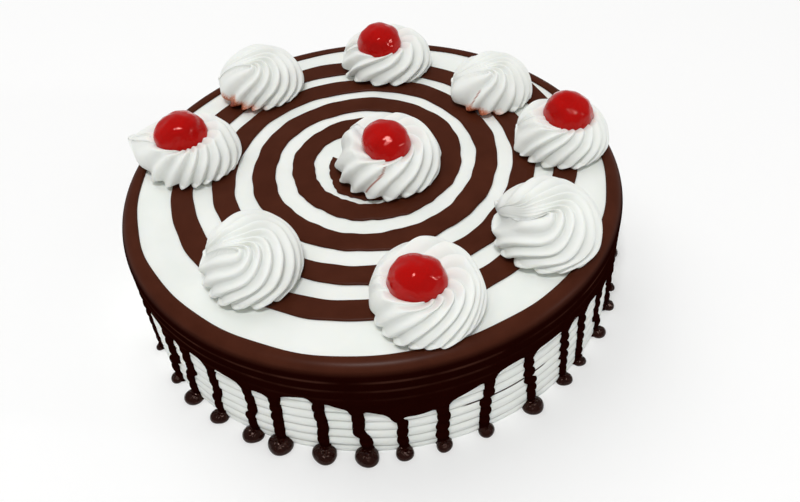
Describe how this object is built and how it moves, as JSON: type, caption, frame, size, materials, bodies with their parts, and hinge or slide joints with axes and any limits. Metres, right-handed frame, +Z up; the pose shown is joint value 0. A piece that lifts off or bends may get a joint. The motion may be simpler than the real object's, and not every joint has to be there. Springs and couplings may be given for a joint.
{
  "type": "black forest cake",
  "caption": "Round cream cake with a chocolate spiral on top, a dripping chocolate edge over a combed cream side, piped cream rosettes and glacé cherries.",
  "frame": {"origin": "centre of the cake's flat base", "axes": "+Z up through the cake; the tails of the rosettes are pulled towards -X, and the front rosette stands towards -Y"},
  "size_m": [0.2373, 0.2386, 0.0824],
  "materials": {
    "whipped_cream": "smoothed whipped cream, softly glossy white",
    "piped_cream": "piped whipped cream, fine ridges, softly glossy white",
    "chocolate_glaze": "set chocolate glaze, dark brown, glossy",
    "glace_cherry": "wet syrup-glazed red cherry"
  },
  "bodies": {
    "root": {"cream_cake": "whipped_cream", "chocolate_rim": "chocolate_glaze", "chocolate_spiral": "chocolate_glaze", "rosette_front": "piped_cream", "rosette_front_right": "piped_cream", "rosette_right": "piped_cream", "rosette_back_right": "piped_cream", "rosette_back": "piped_cream", "rosette_back_left": "piped_cream", "rosette_left": "piped_cream", "rosette_front_left": "piped_cream", "rosette_centre": "piped_cream", "cherry_front": "glace_cherry", "cherry_right": "glace_cherry", "cherry_back": "glace_cherry", "cherry_left": "glace_cherry", "cherry_centre": "glace_cherry"}
  },
  "joints": []
}
